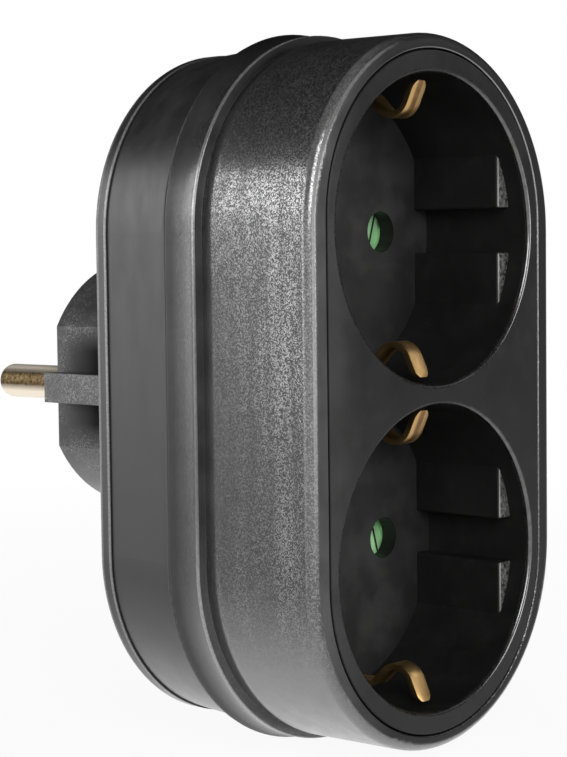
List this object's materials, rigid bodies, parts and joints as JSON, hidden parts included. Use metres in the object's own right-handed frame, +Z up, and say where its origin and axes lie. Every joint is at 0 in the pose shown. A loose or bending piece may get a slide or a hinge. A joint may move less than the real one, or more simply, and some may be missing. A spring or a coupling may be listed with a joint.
{
  "type": "multi socket adapter",
  "caption": "Upright capsule-shaped mains adapter with round earthed socket wells on its face, sprung pin-hole shutters, and an earthed round-pin plug at the back.",
  "frame": {"origin": "centre of the plug's engagement face, on the plug axis", "axes": "+Y the way the plug is pushed in, +Z up along the line of the wells, +X to the right seen from the socket face"},
  "size_m": [0.0518, 0.0727, 0.0932],
  "materials": {
    "shell_black": "fine grained moulded black",
    "insert_black": "fine grained moulded black",
    "housing_black": "smooth satin black",
    "carrier_black": "plain moulded",
    "pin_brass": "turned brass, dull",
    "strip_brass": "rolled brass strip",
    "shutter_green": "green moulded",
    "spring_steel": "drawn wire",
    "screw_steel": "plated"
  },
  "bodies": {
    "housing": {"contact_carrier": "carrier_black", "contact_lower_left": "strip_brass", "contact_lower_right": "strip_brass", "contact_rivets": "strip_brass", "contact_upper_left": "strip_brass", "contact_upper_right": "strip_brass", "earth_clip_lower": "strip_brass", "earth_clip_upper": "strip_brass", "earth_link": "strip_brass", "earth_rivets": "strip_brass", "front_shell": "shell_black", "housing_screws": "screw_steel", "line_bar_left": "strip_brass", "line_bar_right": "strip_brass", "plug_earth_strip_bottom": "strip_brass", "plug_earth_strip_top": "strip_brass", "plug_pin_left": "pin_brass", "plug_pin_right": "pin_brass", "rear_housing": "housing_black", "shutter_spring_lower": "spring_steel", "shutter_spring_upper": "spring_steel", "socket_insert": "insert_black"},
    "upper_shutter": {"shutter_upper": "shutter_green"},
    "lower_shutter": {"shutter_lower": "shutter_green"}
  },
  "joints": [
    {"name": "shutter_upper_slide", "type": "slide", "parent": "housing", "child": "upper_shutter", "axis": [0, 0, 1], "range_m": [0, 0.0066], "stiffness_N_per_m": 100, "springref_m": -0.004, "deforming": ["shutter_spring_upper"]},
    {"name": "shutter_lower_slide", "type": "slide", "parent": "housing", "child": "lower_shutter", "axis": [0, 0, -1], "range_m": [0, 0.0066], "stiffness_N_per_m": 100, "springref_m": -0.004, "deforming": ["shutter_spring_lower"]}
  ]
}
